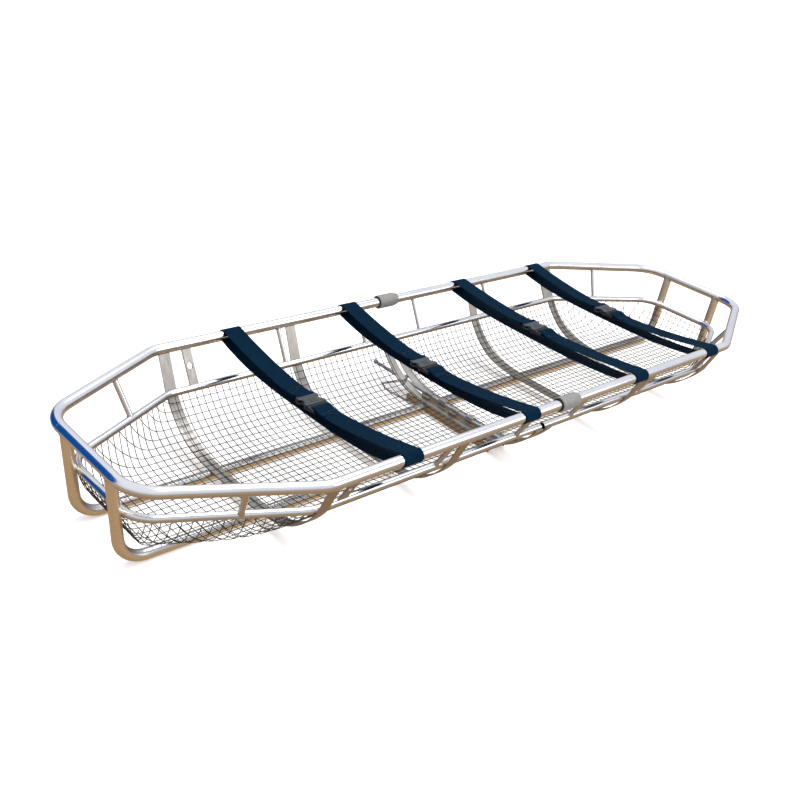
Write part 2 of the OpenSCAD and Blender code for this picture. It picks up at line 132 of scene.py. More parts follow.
def add_node(tree, kind, **inputs):
    node = tree.nodes.new(kind)
    for key, value in inputs.items():
        node.inputs[key.replace("_", " ")].default_value = value
    return node


def noise(tree, vector, scale, detail=3.0):
    node = add_node(tree, "ShaderNodeTexNoise", Scale=scale, Detail=detail)
    tree.links.new(vector, node.inputs["Vector"])
    return node.outputs["Fac"]


def stretched(tree, scale):
    """Object coordinates stretched along one axis, for lengthwise grain."""
    coords = add_node(tree, "ShaderNodeTexCoord")
    mapping = add_node(tree, "ShaderNodeMapping", Scale=scale)
    tree.links.new(coords.outputs["Object"], mapping.inputs["Vector"])
    return mapping.outputs["Vector"]


def ranged(tree, value, low, high, new_low, new_high):
    node = tree.nodes.new("ShaderNodeMapRange")
    for i, number in enumerate((low, high, new_low, new_high)):
        node.inputs[i + 1].default_value = number
    tree.links.new(value, node.inputs[0])
    return node.outputs[0]


def mixed(tree, factor, a, b):
    """A colour between a and b, each a colour or a socket."""
    node = tree.nodes.new("ShaderNodeMix")
    node.data_type = "RGBA"
    tree.links.new(factor, node.inputs["Factor"])
    for index, value in ((6, a), (7, b)):
        if isinstance(value, bpy.types.NodeSocket):
            tree.links.new(value, node.inputs[index])
        else:
            node.inputs[index].default_value = (*value, 1)
    return node.outputs[2]


def bump(tree, shader, height, strength, distance):
    node = add_node(tree, "ShaderNodeBump", Strength=strength, Distance=distance)
    tree.links.new(height, node.inputs["Height"])
    tree.links.new(node.outputs["Normal"], shader.inputs["Normal"])


# ---------------------------------------------------------------- materials


def steel(name, colour, under, roughness, grain=(3, 60, 60), grain_bump=0.08, turn=(0.2, -0.4)):
    """Stainless steel: fine grain, faint smears, and a painted warm reflection of a brown ground on the
    faces that look down.
    """
    mat, tree, shader = new_material(name)
    shader.inputs["Metallic"].default_value = 1.0
    vector = stretched(tree, grain)
    scratch = noise(tree, vector, 14.0, 6.0)
    smear = noise(tree, stretched(tree, (1, 1, 1)), 9.0, 4.0)
    normal = tree.nodes.new("ShaderNodeNewGeometry")
    split = tree.nodes.new("ShaderNodeSeparateXYZ")
    tree.links.new(normal.outputs["Normal"], split.inputs[0])
    # Painted reflection: this mask is 1 on faces that look down, where a warm ground reflection is painted
    # into the base colour.
    down = ranged(tree, split.outputs["Z"], *turn, 0.0, 1.0)
    dull = ranged(tree, smear, 0.35, 0.7, 0.0, 0.35)
    grey = tuple(0.72 * c for c in colour)
    clean = mixed(tree, dull, colour, grey)
    # Base colour: smeared steel, with the painted ground reflection on the faces that look down.
    tree.links.new(mixed(tree, down, clean, under), shader.inputs["Base Color"])
    rough = ranged(tree, scratch, 0.3, 0.75, roughness * 0.7, roughness * 1.5)
    tree.links.new(rough, shader.inputs["Roughness"])
    bump(tree, shader, scratch, grain_bump, 0.0004)
    return mat


def cast_alloy(name, colour):
    """Bead-blasted alloy, slightly pitted."""
    mat, tree, shader = new_material(name)
    shader.inputs["Metallic"].default_value = 0.35
    vector = stretched(tree, (1, 1, 1))
    grit = noise(tree, vector, 900.0, 3.0)
    cloud = noise(tree, vector, 60.0, 3.0)
    dark = tuple(0.7 * c for c in colour)
    tree.links.new(mixed(tree, cloud, colour, dark), shader.inputs["Base Color"])
    tree.links.new(ranged(tree, grit, 0.3, 0.7, 0.45, 0.75), shader.inputs["Roughness"])
    bump(tree, shader, grit, 0.5, 0.0005)
    return mat


def coated_steel(name, colour):
    """Dark coated rod with scuffs down to paler metal."""
    mat, tree, shader = new_material(name)
    shader.inputs["Metallic"].default_value = 0.7
    scuff = noise(tree, stretched(tree, (30, 4, 30)), 9.0, 6.0)
    worn = ranged(tree, scuff, 0.55, 0.68, 0.0, 0.7)
    tree.links.new(mixed(tree, worn, colour, (0.42, 0.45, 0.5)), shader.inputs["Base Color"])
    tree.links.new(ranged(tree, scuff, 0.3, 0.7, 0.3, 0.55), shader.inputs["Roughness"])
    bump(tree, shader, scuff, 0.15, 0.0003)
    return mat


def woven(name, colour, light):
    """Polyester webbing: yarn rows from the UV map, which is in millimetres across and along, with painted
    light on the yarn crests and painted shade between them.
    """
    mat, tree, shader = new_material(name)
    shader.inputs["Specular IOR Level"].default_value = 0.03
    coords = tree.nodes.new("ShaderNodeTexCoord")

    def wave(direction, turns):
        """Rows along one direction, 0 to 1, with that many turns a millimetre."""
        scaled = tree.nodes.new("ShaderNodeVectorMath")
        scaled.operation = "DOT_PRODUCT"
        tree.links.new(coords.outputs["UV"], scaled.inputs[0])
        scaled.inputs[1].default_value = [2 * math.pi * turns * d for d in direction]
        sine = tree.nodes.new("ShaderNodeMath")
        sine.operation = "SINE"
        tree.links.new(scaled.outputs["Value"], sine.inputs[0])
        return sine.outputs[0]

    def product(a, b):
        node = tree.nodes.new("ShaderNodeMath")
        node.operation = "MULTIPLY"
        tree.links.new(a, node.inputs[0])
        tree.links.new(b, node.inputs[1])
        return node.outputs[0]

    yarns = product(wave((1, 0.5, 0), 0.62), wave((1, -0.5, 0), 0.62))
    height = ranged(tree, yarns, -1.0, 1.0, 0.0, 1.0)
    fuzz = noise(tree, stretched(tree, (1, 1, 1)), 260.0, 4.0)
    cloud = noise(tree, stretched(tree, (1, 1, 1)), 22.0, 3.0)
    # Painted light and shade: yarn crests take the lit colour, the hollows between yarns a darker copy of
    # the base colour.
    painted_yarn_shade = mixed(tree, height, tuple(0.45 * c for c in colour), light)
    faded = mixed(tree, ranged(tree, cloud, 0.35, 0.7, 0.0, 0.5), painted_yarn_shade, colour)
    tree.links.new(faded, shader.inputs["Base Color"])
    tree.links.new(ranged(tree, fuzz, 0.3, 0.7, 0.62, 0.88), shader.inputs["Roughness"])
    bump(tree, shader, height, 0.55, 0.0006)
    return mat


def moulded(name, colour, roughness=0.42):
    """Moulded plastic with a fine spark-eroded grain and rubbed patches."""
    mat, tree, shader = new_material(name)
    shader.inputs["Specular IOR Level"].default_value = 0.5
    vector = stretched(tree, (1, 1, 1))
    grain = noise(tree, vector, 1500.0, 2.0)
    rub = noise(tree, vector, 45.0, 4.0)
    pale = tuple(min(1.0, 2.1 * c) for c in colour)
    rubbed = mixed(tree, ranged(tree, rub, 0.5, 0.8, 0, 0.5), colour, pale)
    tree.links.new(rubbed, shader.inputs["Base Color"])
    tree.links.new(ranged(tree, rub, 0.3, 0.7, roughness, roughness * 1.35), shader.inputs["Roughness"])
    bump(tree, shader, grain, 0.25, 0.0002)
    return mat


# Painted reflection: the under colours here, and the second colour of every steel below, are a warm brown
# ground reflection painted on faces that look down; the turn pairs set the normal heights over which it
# fades in.
PAINTED_UNDER_REFLECTION = (0.66, 0.57, 0.46)
FLAT_TURN = (0.45, -0.1)
TUBE_TURN = (0.45, 0.05)
RUNNER_TOP, RUNNER_PAINTED_REFLECTION = (0.44, 0.44, 0.45), (0.84, 0.72, 0.56)
RIB_TOP, RIB_PAINTED_REFLECTION = (0.33, 0.32, 0.31), (0.46, 0.38, 0.29)
MATERIALS = {
    "rail_steel": steel("rail_steel", (0.76, 0.78, 0.84), PAINTED_UNDER_REFLECTION, 0.15, grain_bump=0.03),
    "lower_rail_steel": steel("lower_rail_steel", (0.66, 0.68, 0.73), PAINTED_UNDER_REFLECTION, 0.17, grain_bump=0.03),
    "runner_steel": steel("runner_steel", RUNNER_TOP, RUNNER_PAINTED_REFLECTION, 0.32, grain_bump=0.03, turn=TUBE_TURN),
    "rib_steel": steel("rib_steel", RIB_TOP, RIB_PAINTED_REFLECTION, 0.38, (60, 3, 3), 0.12, FLAT_TURN),
    "post_steel": steel("post_steel", (0.62, 0.61, 0.61), PAINTED_UNDER_REFLECTION, 0.28, (60, 60, 3)),
    "mesh_wire": steel("mesh_wire", (0.075, 0.066, 0.058), (0.12, 0.095, 0.07), 0.42, (20, 20, 20)),
    "chain_steel": steel("chain_steel", (0.16, 0.16, 0.17), (0.1, 0.09, 0.08), 0.34, (40, 40, 40)),
    "weld": steel("weld", (0.36, 0.34, 0.32), (0.20, 0.14, 0.09), 0.42, (90, 90, 90), 0.5),
    "collar_metal": cast_alloy("collar_metal", (0.26, 0.26, 0.255)),
    "rod_steel": coated_steel("rod_steel", (0.30, 0.315, 0.34)),
    # Webbing: base colour, then the painted lit colour of the yarn crests.
    "webbing": woven("webbing", (0.0002, 0.008, 0.020), (0.0006, 0.022, 0.054)),
    "buckle_plastic": moulded("buckle_plastic", (0.007, 0.009, 0.013)),
    "buckle_grey": moulded("buckle_grey", (0.014, 0.020, 0.030), 0.36),
}


# ---------------------------------------------------------------- mesh helpers


def mesh_object(name, verts, faces, slot, material=None, uvs=None):
    mesh = bpy.data.meshes.new(name)
    mesh.from_pydata([tuple(v) for v in verts], [], faces)
    if uvs is not None:
        layer = mesh.uv_layers.new(name="UVMap")
        for loop in mesh.loops:
            layer.data[loop.index].uv = uvs[loop.vertex_index]
    mesh.materials.append(MATERIALS[material or slot])
    mesh.polygons.foreach_set("use_smooth", [True] * len(mesh.polygons))
    mesh.update()
    obj = bpy.data.objects.new(name, mesh)
    bpy.context.scene.collection.objects.link(obj)
    return obj


def strip_faces(rings, sides, base=0):
    """Quads between successive rings of points, with both ends capped."""
    faces = []
    for i in range(rings - 1):
        for j in range(sides):
            k = (j + 1) % sides
            a, b = base + i * sides, base + (i + 1) * sides
            faces.append((a + j, a + k, b + k, b + j))
    faces.append(tuple(base + j for j in reversed(range(sides))))
    faces.append(tuple(base + (rings - 1) * sides + j for j in range(sides)))
    return faces


def wire_rings(points, binormal, radius, sides=WIRE_SIDES):
    """Rings of points round a path that lies in the plane square to binormal."""
    points = np.asarray(points, float)
    tangent = np.gradient(points, axis=0)
    tangent /= np.linalg.norm(tangent, axis=1)[:, None]
    b = np.broadcast_to(np.asarray(binormal, float), tangent.shape)
    n = np.cross(tangent, b)
    n /= np.linalg.norm(n, axis=1)[:, None]
    angles = 2 * math.pi * np.arange(sides) / sides
    ring = np.cos(angles)[None, :, None] * n[:, None] + np.sin(angles)[None, :, None] * b[:, None]
    return (points[:, None] + radius * ring).reshape(-1, 3)


# ---------------------------------------------------------------- wire bed

CORNER = np.array([LOWER_HALF_WIDTH - LOWER_END_HALF, LOWER_HALF_LENGTH - LOWER_SIDE_HALF])
CORNER_N = CORNER / np.linalg.norm(CORNER)
CORNER_C = float(CORNER_N @ (LOWER_SIDE_HALF, LOWER_HALF_WIDTH))


def bed_height(x, y):
    x, y = np.abs(x), np.abs(y)
    side = (y / LOWER_HALF_WIDTH) ** BED_POWER
    end = np.maximum(0, (x - LOWER_HALF_LENGTH + END_RUN) / END_RUN) ** END_POWER
    edge = 1 - (CORNER_C - CORNER_N[0] * x - CORNER_N[1] * y) / CORNER_RUN
    corner = np.maximum(0, edge) ** CORNER_POWER
    rise = (side**BLEND_POWER + end**BLEND_POWER + corner**BLEND_POWER) ** (1 / BLEND_POWER)
    return BED_FLOOR + BED_RISE * np.minimum(1, rise)


def bed_half_at(x, gap):
    """Half width of the bed at x, gap inside the lower rail's centre line."""
    turn = math.atan2(CORNER_N[1], CORNER_N[0])
    arc_x = LOWER_HALF_LENGTH - LOWER_END_BEND
    arc_y = LOWER_END_HALF - LOWER_END_BEND * math.tan(turn / 2)
    arc_r = LOWER_END_BEND - gap
    if x <= LOWER_SIDE_HALF:
        return LOWER_HALF_WIDTH - gap
    if x <= arc_x + arc_r * CORNER_N[0]:
        return (CORNER_C - gap - CORNER_N[0] * x) / CORNER_N[1]
    return arc_y + math.sqrt(max(0, arc_r**2 - (x - arc_x) ** 2))


def bed_normal(x, y):
    step = 0.2 * MM
    dx = (bed_height(x + step, y) - bed_height(x - step, y)) / (2 * step)
    dy = (bed_height(x, y + step) - bed_height(x, y - step)) / (2 * step)
    n = np.stack([-dx, -dy, np.ones_like(dx)], axis=-1)
    return n / np.linalg.norm(n, axis=-1)[..., None]


def even_places(values, heights, pitch):
    """Places along a profile that are one pitch apart along its length."""
    length = np.concatenate([[0], np.cumsum(np.hypot(np.diff(values), np.diff(heights)))])
    wanted = np.arange(pitch / 2, length[-1], pitch)
    return np.interp(wanted, length, values)


def bed_wire(xs, ys, lift, binormal):
    points = np.stack([xs, ys, bed_height(xs, ys)], axis=-1)
    return wire_rings(points + lift * bed_normal(xs, ys), binormal, WIRE_R)


def wire_bed(end):
    """Welded wire mesh of square pitch, pressed to the bed's shape and cut at the lower rail."""
    last = LOWER_HALF_LENGTH - WIRE_INSET
    dense_y = np.linspace(0, LOWER_HALF_WIDTH - WIRE_INSET, 600)
    dense_x = np.linspace(BED_START, last, 1200)
    side = even_places(dense_y, bed_height(0 * dense_y, dense_y), WIRE_PITCH)
    cross = even_places(dense_x, bed_height(dense_x, 0 * dense_x), WIRE_PITCH)
    halves = np.array([bed_half_at(x, WIRE_INSET) for x in dense_x])
    verts, faces = [], []

    def put(rings):
        base = sum(len(v) for v in verts)
        verts.append(rings)
        faces.extend(strip_faces(len(rings) // WIRE_SIDES, WIRE_SIDES, base))

    for x in np.concatenate([[BED_START + WIRE_R], cross]):
        half = bed_half_at(x, WIRE_INSET)
        count = int(2 * half / WIRE_STEP)
        ys = half * np.sin(np.linspace(-math.pi / 2, math.pi / 2, count))
        put(bed_wire(np.full(count, end * x), ys, WIRE_R, (1, 0, 0)))
    for y in np.concatenate([-side[::-1], side]):
        reach = dense_x[halves >= abs(y)].max()
        flat = np.arange(BED_START, reach - END_RUN, 2.5 * WIRE_STEP)
        xs = np.concatenate([flat, np.linspace(max(flat[-1], reach - END_RUN) + 1 * MM, reach, 30)])
        put(bed_wire(end * xs, np.full(len(xs), y), -WIRE_R, (0, 1, 0)))
    name = "foot" if end < 0 else "head"
    bed = mesh_object(f"{name}_wire_bed", np.concatenate(verts), faces, "mesh_wire")
    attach(bed, f"{name}_half")
    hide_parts(f"{name}_mesh")
    return bed


# ---------------------------------------------------------------- welds


def weld_ring(start, stop, rail_way, rail_r, bar_r, rounds=64, sides=6):
    """A lumpy bead where a round bar leaves a rail; start and stop are on the centre lines."""
    way = (Vector(stop) - Vector(start)).normalized()
    across = Vector(rail_way)
    across = (across - across.dot(way) * way).normalized()
    square = way.cross(across)
    verts = []
    for i in range(rounds):
        t = 2 * math.pi * i / rounds
        out = math.cos(t) * across + math.sin(t) * square
        reach = math.sqrt(rail_r**2 - (bar_r * math.sin(t)) ** 2)
        bead = (1.3 + 0.35 * math.sin(16 * t)) * MM
        for k in range(sides):
            a = 2 * math.pi * k / sides
            down, wide = reach + bead * math.sin(a), bar_r + bead * math.cos(a)
            verts.append(Vector(start) + way * down + out * wide)
    faces = []
    for i in range(rounds):
        j = (i + 1) % rounds
        for k in range(sides):
            m = (k + 1) % sides
            faces.append((i * sides + k, i * sides + m, j * sides + m, j * sides + k))
    return verts, faces


def taper_y(x, side_x, side_y, end_x, end_y):
    return side_y + (end_y - side_y) * (x - side_x) / (end_x - side_x)


def welds(end):
    """Beads at both ends of every upright rod and at the top of every leg, in one object a half."""
    name = "foot" if end < 0 else "head"
    top_x, low_x = CORNER_POST_XS
    top_y = taper_y(top_x, SIDE_HALF, RAIL_HALF_WIDTH, RAIL_HALF_LENGTH, END_HALF)
    low_y = taper_y(low_x, LOWER_SIDE_HALF, LOWER_HALF_WIDTH, LOWER_HALF_LENGTH, LOWER_END_HALF)
    rings = []
    for side in (-1, 1):
        bars = [
            ((x, side * RAIL_HALF_WIDTH, RAIL_Z), (x, side * LOWER_HALF_WIDTH, LOWER_Z), (1, 0, 0), POST_R)
            for x in POST_XS[name]
        ]
        taper = (end * (RAIL_HALF_LENGTH - SIDE_HALF), side * (END_HALF - RAIL_HALF_WIDTH), 0)
        top, low = (end * top_x, side * top_y, RAIL_Z), (end * low_x, side * low_y, LOWER_Z)
        bars.append((top, low, taper, CORNER_POST_R))
        for upper, lower, rail_way, radius in bars:
            rings.append(weld_ring(upper, lower, rail_way, RAIL_R, radius))
            rings.append(weld_ring(lower, upper, rail_way, LOWER_R, radius))
        leg_top = (end * RAIL_HALF_LENGTH, side * RUNNER_Y, RAIL_Z)
        leg_foot = (end * (RAIL_HALF_LENGTH - LEG_LEAN), side * RUNNER_Y, RUNNER_R)
        rings.append(weld_ring(leg_top, leg_foot, (0, 1, 0), RAIL_R, RUNNER_R))
    verts, faces = [], []
    for ring_verts, ring_faces in rings:
        base = len(verts)
        verts.extend(ring_verts)
        faces.extend(tuple(base + i for i in face) for face in ring_faces)
    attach(mesh_object(f"{name}_welds", verts, faces, "post_steel", "weld"), f"{name}_half")


# ---------------------------------------------------------------- straps

LOOP_Y = RAIL_HALF_WIDTH - LOOP_R * math.sin(LOOP_ANGLE)
LOOP_RISE = LOOP_R * math.cos(LOOP_ANGLE)


def upper_height(n, y):
    middle = STRAPS[n][0]
    return middle + (RAIL_Z + LOOP_RISE - middle) * (abs(y) / LOOP_Y) ** UPPER_POWER


def lower_height(n, y):
    middle = STRAPS[n][1]
    return middle + (RAIL_Z - LOOP_RISE - middle) * (abs(y) / LOOP_Y) ** LOWER_POWER


def web_side(n, side):
    """Y and Z from the buckle over the rail and back under to the middle."""
    start = STRAPS[n][2] + side * ((SOCKET_LEN + TONGUE_LEN) / 2 + WEB_END_GAP)
    ys = start + (side * LOOP_Y - start) * np.linspace(0, 1, 40)
    upper = [(y, upper_height(n, y)) for y in ys]
    top = math.pi / 2 + LOOP_ANGLE
    turn = [
        (side * (RAIL_HALF_WIDTH + LOOP_R * math.cos(a)), RAIL_Z + LOOP_R * math.sin(a))
        for a in np.linspace(top, -top, 22)[1:-1]
    ]
    lower = [(y, lower_height(n, y)) for y in side * LOOP_Y * (1 - np.linspace(0, 1, 40))]
    return upper + turn + lower


def web_section(width, thickness):
    """Across and through the webbing: flat faces, rounded selvedges a little thicker than the middle."""
    half, t = width / 2, thickness / 2
    lane = np.array([-0.99, -0.955, -0.90, -0.6, -0.3, 0, 0.3, 0.6, 0.90, 0.955, 0.99]) * half
    edge = np.array([0.72, 1.0, 0.80, 0.80, 0.80, 0.80, 0.80, 0.80, 0.80, 1.0, 0.72]) * t
    top = list(zip(lane, edge))
    return top + [(half, 0)] + [(x, -e) for x, e in reversed(top)] + [(-half, 0)]


def web_sweep(name, x, path, width, thickness):
    """Webbing along a path of Y and Z, with its UV map in millimetres."""
    path = np.asarray(path, float)
    tangent = np.gradient(path, axis=0)
    tangent /= np.linalg.norm(tangent, axis=1)[:, None]
    section = web_section(width, thickness)
    along = np.concatenate([[0], np.cumsum(np.linalg.norm(np.diff(path, axis=0), axis=1))])
    verts, uvs = [], []
    for (y, z), (ty, tz), s in zip(path, tangent, along):
        for across, through in section:
            verts.append((x + across, y - tz * through, z + ty * through))
            uvs.append((across / MM, s / MM))
    return mesh_object(name, verts, strip_faces(len(path), len(section)), "webbing", uvs=uvs)


def rounded_path(points, passes=3):
    """Corner cutting, which keeps both ends."""
    points = np.asarray(points, float)
    for _ in range(passes):
        a = 0.75 * points[:-1] + 0.25 * points[1:]
        b = 0.25 * points[:-1] + 0.75 * points[1:]
        middle = np.stack([a, b], axis=1).reshape(-1, 2)
        points = np.concatenate([points[:1], middle[1:-1], points[-1:]])
    return points


def strap_web(n, body):
    low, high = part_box(f"strap_{n}_webbing")
    x, width = (low[0] + high[0]) / 2, high[0] - low[0]
    near, far = web_side(n, -1), web_side(n, 1)
    path = np.asarray(near + far[-2::-1], float)
    main = web_sweep(f"strap_{n}_web", x, path, width, WEB_T)
    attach(main, body)
    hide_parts(f"strap_{n}_webbing")
    mouth = STRAPS[n][2] - (SOCKET_LEN - TONGUE_LEN) / 2
    lift = upper_height(n, STRAPS[n][2]) + BUCKLE_LIFT

    def on_web(y):
        return upper_height(n, y) + 2.1 * MM

    tail = mouth + SOCKET_LEN
    over_socket = [
        (tail + 46 * MM, on_web(tail + 46 * MM)),
        (tail + 26 * MM, on_web(tail + 26 * MM)),
        (tail + 10 * MM, on_web(tail + 10 * MM) + 1.5 * MM),
        (tail + 1 * MM, lift + 8.0 * MM),
        (tail - 4 * MM, lift + 7.9 * MM),
        (tail - 6 * MM, lift + 5 * MM),
        (tail - 6 * MM, lift - 2 * MM),
    ]
    nose = mouth - TONGUE_LEN
    over_tongue = [
        (nose - 34 * MM, on_web(nose - 34 * MM)),
        (nose - 16 * MM, on_web(nose - 16 * MM)),
        (nose - 5 * MM, lift + 5.2 * MM),
        (nose + 2 * MM, lift + 7.0 * MM),
        (nose + 9 * MM, lift + 6.8 * MM),
        (nose + 13 * MM, lift + 4.5 * MM),
        (nose + 14 * MM, lift - 2 * MM),
    ]
    for tag, route in (("far_fold", over_socket), ("near_fold", over_tongue)):
        fold = web_sweep(f"strap_{n}_{tag}", x, rounded_path(route), width - 3 * MM, 1.9 * MM)
        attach(fold, body)
    stitches(n, x, width, tail + 20 * MM, 1, body)
    stitches(n, x, width, nose - 18 * MM, -1, body)


def stitches(n, x, width, start, side, body):
    """A sewn box with one diagonal across it on the folded webbing, as small thread humps."""
    half, depth, step = width / 2 - 7 * MM, 20 * MM, 2.6 * MM
    corners = [(-half, 0), (half, 0), (half, depth), (-half, depth), (-half, 0), (half, depth)]
    verts, faces = [], []
    for (ax, ay), (bx, by) in zip(corners, corners[1:]):
        count = int(math.hypot(bx - ax, by - ay) / step)
        for i in range(count):
            t = (i + 0.5) / count
            y = start + side * (ay + (by - ay) * t)
            centre = Vector((x + ax + (bx - ax) * t, y, upper_height(n, y) + 3.1 * MM))
            turn = Vector((bx - ax, side * (by - ay), 0)).normalized()
            cross = Vector((-turn.y, turn.x, 0))
            base = len(verts)
            for k, (w, h) in enumerate(((0, 0), (0.35, 0.32), (0.45, 0.4), (0.35, 0.32), (0, 0))):
                at = centre + turn * (k - 2) * 0.45 * MM
                for a in range(4):
                    angle = a * math.pi / 2 + math.pi / 4
                    offset = cross * (w * math.cos(angle)) + Vector((0, 0, h * math.sin(angle)))
                    verts.append(at + offset * MM)
            faces.extend(strip_faces(5, 4, base))
    where = "far" if side > 0 else "near"
    thread = mesh_object(f"strap_{n}_stitches_{where}", verts, faces, "webbing", "buckle_grey")
    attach(thread, body)


# ---------------------------------------------------------------- buckles


def plate(name, outline, low, high, slot, material, bevel=0.9 * MM):
    """An outline extruded from low to high, with its edges rounded."""
    count = len(outline)
    verts = [(x, y, low) for x, y in outline] + [(x, y, high) for x, y in outline]
    faces = [tuple(reversed(range(count))), tuple(range(count, 2 * count))]
    faces += [(i, (i + 1) % count, count + (i + 1) % count, count + i) for i in range(count)]
    obj = mesh_object(name, verts, faces, slot, material)
    rounding = obj.modifiers.new("edges", "BEVEL")
    rounding.width = bevel
    rounding.segments = 3
    rounding.limit_method = "ANGLE"
    return obj


def finish_here(obj, place):
    """Applies the modifiers and moves the mesh to its place, so that the object sits at the origin."""
    depsgraph = bpy.context.evaluated_depsgraph_get()
    mesh = bpy.data.meshes.new_from_object(obj.evaluated_get(depsgraph))
    obj.modifiers.clear()
    obj.data = mesh
    obj.data.transform(Matrix.Translation(place))
    return obj


def arc(cx, cy, radius, start, stop, count=10):
    return [
        (cx + radius * math.cos(math.radians(a)), cy + radius * math.sin(math.radians(a)))
        for a in np.linspace(start, stop, count)
    ]


def mirrored(points):
    """A right-hand outline and its left-hand copy, in order round the shape."""
    return points + [(-x, y) for x, y in reversed(points)]


def joined(objects, name):
    first = objects[0]
    with bpy.context.temp_override(active_object=first, selected_editable_objects=objects):
        bpy.ops.object.join()
    first.name = name
    return first


def socket_outline():
    """Side windows of a big round bite, a waisted middle and a narrower tail, in millimetres."""
    half, length = 31, 46
    right = [(half - 3, 0), (half - 1, 3), (half - 1, 10)]
    right += arc(half + 2, 21, 10.5, -113, -247, 12)
    right += [(half - 1, 32), (half - 1, length - 10), (half - 4, length - 1), (half - 6, length)]
    return [(x * MM, y * MM) for x, y in mirrored(right)]


def buckle(n, body):
    """Side-release buckle: hollow socket in two shells, tongue with a ridged grip, and two prongs."""
    low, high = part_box(f"strap_{n}_webbing")
    x = (low[0] + high[0]) / 2
    mouth = STRAPS[n][2] - (SOCKET_LEN - TONGUE_LEN) / 2
    place = Vector((x, mouth, upper_height(n, STRAPS[n][2]) + BUCKLE_LIFT))
    slot, black, grey = "buckle_plastic", "buckle_plastic", "buckle_grey"
    parts = []
    outline = socket_outline()
    parts.append(plate("shell", outline, 3.6 * MM, 6.5 * MM, slot, grey, 1.3 * MM))
    parts.append(plate("shell", outline, -6.5 * MM, -3.6 * MM, slot, grey, 1.3 * MM))
    walls = [
        [(-22, 33.5), (22, 33.5), (22, 36.5), (-22, 36.5)],
        [(-26, 42.4), (26, 42.4), (25, 45.6), (-25, 45.6)],
    ]
    for wall in walls:
        parts.append(plate("wall", [(a * MM, b * MM) for a, b in wall], -4.2 * MM, 4.2 * MM, slot, black))
    for side in (-1, 1):
        for y0, y1 in ((0.6, 8), (33, 42)):
            a, b = sorted((side * 26.2, side * 29.8))
            post = [(a * MM, y0 * MM), (b * MM, y0 * MM), (b * MM, y1 * MM), (a * MM, y1 * MM)]
            parts.append(plate("post", post, -4.2 * MM, 4.2 * MM, slot, black))
    rib = [(-9, 8), (9, 8), (9, 10), (-9, 10)]
    for k in range(4):
        ridge = [(a * MM, (b + 5 * k) * MM) for a, b in rib]
        parts.append(plate("ridge", ridge, 6.2 * MM, 7.1 * MM, slot, grey, 0.4 * MM))
    socket = joined([finish_here(p, place) for p in parts], f"strap_{n}_socket")
    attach(socket, body)
    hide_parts(f"strap_{n}_buckle_socket")

    parts = []
    bars = [(-24, -20.5), (-15.5, -12), (-7.5, -0.5)]
    for y0, y1 in bars:
        bar = [(-27 * MM, y0 * MM), (27 * MM, y0 * MM), (27 * MM, y1 * MM), (-27 * MM, y1 * MM)]
        parts.append(plate("bar", bar, -4.2 * MM, 4.2 * MM, slot, black, 1.2 * MM))
    for side in (-1, 1):
        a, b = sorted((side * 25, side * 29))
        cheek = [(a * MM, -24 * MM), (b * MM, -22 * MM), (b * MM, -0.6 * MM), (a * MM, -0.6 * MM)]
        parts.append(plate("cheek", cheek, -4.5 * MM, 4.5 * MM, slot, black, 1.2 * MM))
    for k in range(3):
        y = -7 + 2.2 * k
        ridge = [(-22 * MM, y * MM), (22 * MM, y * MM), (22 * MM, (y + 1) * MM), (-22 * MM, (y + 1) * MM)]
        parts.append(plate("ridge", ridge, 3.9 * MM, 5.0 * MM, slot, black, 0.4 * MM))
    guide = [(-5 * MM, -0.8 * MM), (5 * MM, -0.8 * MM), (4 * MM, 29 * MM), (-4 * MM, 29 * MM)]
    parts.append(plate("guide", guide, -3.2 * MM, 3.2 * MM, slot, black))
    tongue = joined([finish_here(p, place) for p in parts], f"strap_{n}_tongue")
    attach(tongue, body)
    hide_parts(f"strap_{n}_buckle_tongue")

    for side, word in ((-1, "left"), (1, "right")):
        right = [(17.2, 0), (21.2, 0), (21.4, 11.5), (23.6, 13)]
        right += [(25.4, 16.5), (25.6, 20), (25, 24), (22.5, 27.4), (19.5, 29.8), (17.2, 29.6), (17.6, 12)]
        outline = [(side * a * MM, b * MM) for a, b in right]
        if side < 0:
            outline.reverse()
        prong = finish_here(plate("prong", outline, -3.2 * MM, 3.2 * MM, slot, black, 0.8 * MM), place)
        prong.name = f"strap_{n}_{word}_arm"
        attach(prong, f"strap_{n}_{word}_prong")
        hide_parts(f"strap_{n}_{word}_prong")


# ---------------------------------------------------------------- camera, light and floor


def camera():
    """Above the near side, off the foot end, rolled a little to the right."""
    yaw, pitch, roll = math.radians(-46.03), math.radians(27.53), math.radians(8.71)
    back = Vector((math.sin(yaw) * math.cos(pitch), -math.cos(yaw) * math.cos(pitch), math.sin(pitch)))
    flat_right = Vector((math.cos(yaw), math.sin(yaw), 0))
    flat_up = back.cross(flat_right)
    right = flat_right * math.cos(roll) + flat_up * math.sin(roll)
    up = flat_up * math.cos(roll) - flat_right * math.sin(roll)
    data = bpy.data.cameras.new("camera")
    data.lens = 45.51
    data.sensor_width = 36
    data.clip_end = 200
    obj = bpy.data.objects.new("camera", data)
    bpy.context.scene.collection.objects.link(obj)
    turn = Matrix((right, up, back)).transposed().to_4x4()
    obj.matrix_world = Matrix.Translation((-1.853, -1.574, 1.311)) @ turn
    bpy.context.scene.camera = obj


def softbox(name, place, target, size, power, colour=(1, 1, 1)):
    data = bpy.data.lights.new(name, "AREA")
    data.shape = "RECTANGLE"
    data.size, data.size_y = size
    data.energy = power
    data.color = colour
    obj = bpy.data.objects.new(name, data)
    obj.location = place
    obj.rotation_euler = (Vector(target) - Vector(place)).to_track_quat("-Z", "Y").to_euler()
    bpy.context.scene.collection.objects.link(obj)


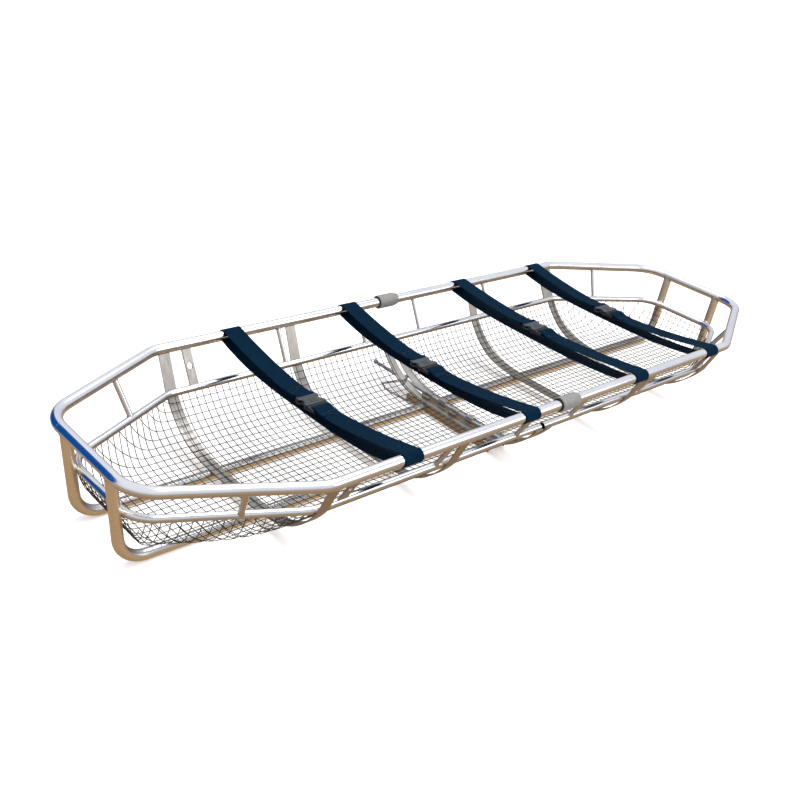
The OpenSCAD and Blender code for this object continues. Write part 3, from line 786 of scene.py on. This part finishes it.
def studio():
    """White above, a warm ground below, and a patch of blue sky that the foot end bar mirrors."""
    world = bpy.data.worlds.new("studio")
    world.use_nodes = True
    tree = world.node_tree
    background = tree.nodes["Background"]
    coords = tree.nodes.new("ShaderNodeTexCoord")
    split = tree.nodes.new("ShaderNodeSeparateXYZ")
    tree.links.new(coords.outputs["Generated"], split.inputs[0])
    ramp = tree.nodes.new("ShaderNodeValToRGB")
    stops = [
        (0.0, (0.42, 0.31, 0.21)),
        (0.47, (0.55, 0.42, 0.28)),
        (0.53, (0.74, 0.76, 0.84)),
        (0.80, (1, 1, 1)),
    ]
    while len(ramp.color_ramp.elements) < len(stops):
        ramp.color_ramp.elements.new(0.5)
    for element, (place, colour) in zip(ramp.color_ramp.elements, stops):
        element.position = place
        element.color = (*colour, 1)
    tree.links.new(ranged(tree, split.outputs["Z"], -1, 1, 0, 1), ramp.inputs[0])
    toward = tree.nodes.new("ShaderNodeVectorMath")
    toward.operation = "DOT_PRODUCT"
    toward.inputs[1].default_value = Vector(BLUE_SKY).normalized()
    tree.links.new(coords.outputs["Generated"], toward.inputs[0])
    patch = ranged(tree, toward.outputs["Value"], 0.82, 0.86, 0.0, 1.0)
    sky = mixed(tree, patch, ramp.outputs[0], (0.0, 0.085, 0.36))
    tree.links.new(sky, background.inputs["Color"])
    background.inputs["Strength"].default_value = 1.0
    bpy.context.scene.world = world
    bpy.context.scene.view_settings.view_transform = "Standard"
    softbox("over", (0.3, -0.2, 3.2), (0, 0, 0), (4.5, 2.2), 95)
    softbox("right", (2.2, -3.2, 1.9), (0.2, 0, 0.15), (2.6, 1.6), 40, (1.0, 0.97, 0.93))


def floor():
    """White ground, hidden from reflections so that the steel mirrors the warm ground instead."""
    bpy.ops.mesh.primitive_plane_add(size=FLOOR_SIZE, location=(8, 8, -0.0005))
    plane = bpy.context.active_object
    plane.name = "floor"
    plane.visible_glossy = False
    mat, _, shader = new_material("floor")
    shader.inputs["Roughness"].default_value = 0.9
    shader.inputs["Specular IOR Level"].default_value = 0.1
    shader.inputs["Base Color"].default_value = (0.93, 0.93, 0.93, 1)
    shader.inputs["Emission Color"].default_value = (1.0, 0.98, 0.95, 1)
    shader.inputs["Emission Strength"].default_value = 0.3
    plane.data.materials.append(mat)


def backdrop():
    """A white dome that only direct sight meets, so that reflections still show the studio."""
    bpy.ops.mesh.primitive_uv_sphere_add(radius=DOME_RADIUS, segments=64, ring_count=32)
    dome = bpy.context.active_object
    dome.name = "backdrop"
    dome.visible_glossy = False
    dome.visible_diffuse = False
    dome.visible_shadow = False
    dome.visible_transmission = False
    mat, _, shader = new_material("backdrop")
    shader.inputs["Base Color"].default_value = (0, 0, 0, 1)
    shader.inputs["Specular IOR Level"].default_value = 0.0
    shader.inputs["Emission Color"].default_value = (1, 1, 1, 1)
    shader.inputs["Emission Strength"].default_value = 1.05
    dome.data.materials.append(mat)


# ---------------------------------------------------------------- assembly


def paint_cad():
    """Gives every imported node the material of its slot."""
    for part in frame["record"]["subparts"]:
        obj = frame["nodes"][part["node"]]
        for material_slot in obj.material_slots:
            material_slot.material = MATERIALS[part["material_slot"]]


camera()
studio()
floor()
backdrop()
paint_cad()
for end in (-1, 1):
    wire_bed(end)
    welds(end)
for number in STRAPS:
    half = "foot_half" if number <= 2 else "head_half"
    strap_web(number, half)
    buckle(number, half)
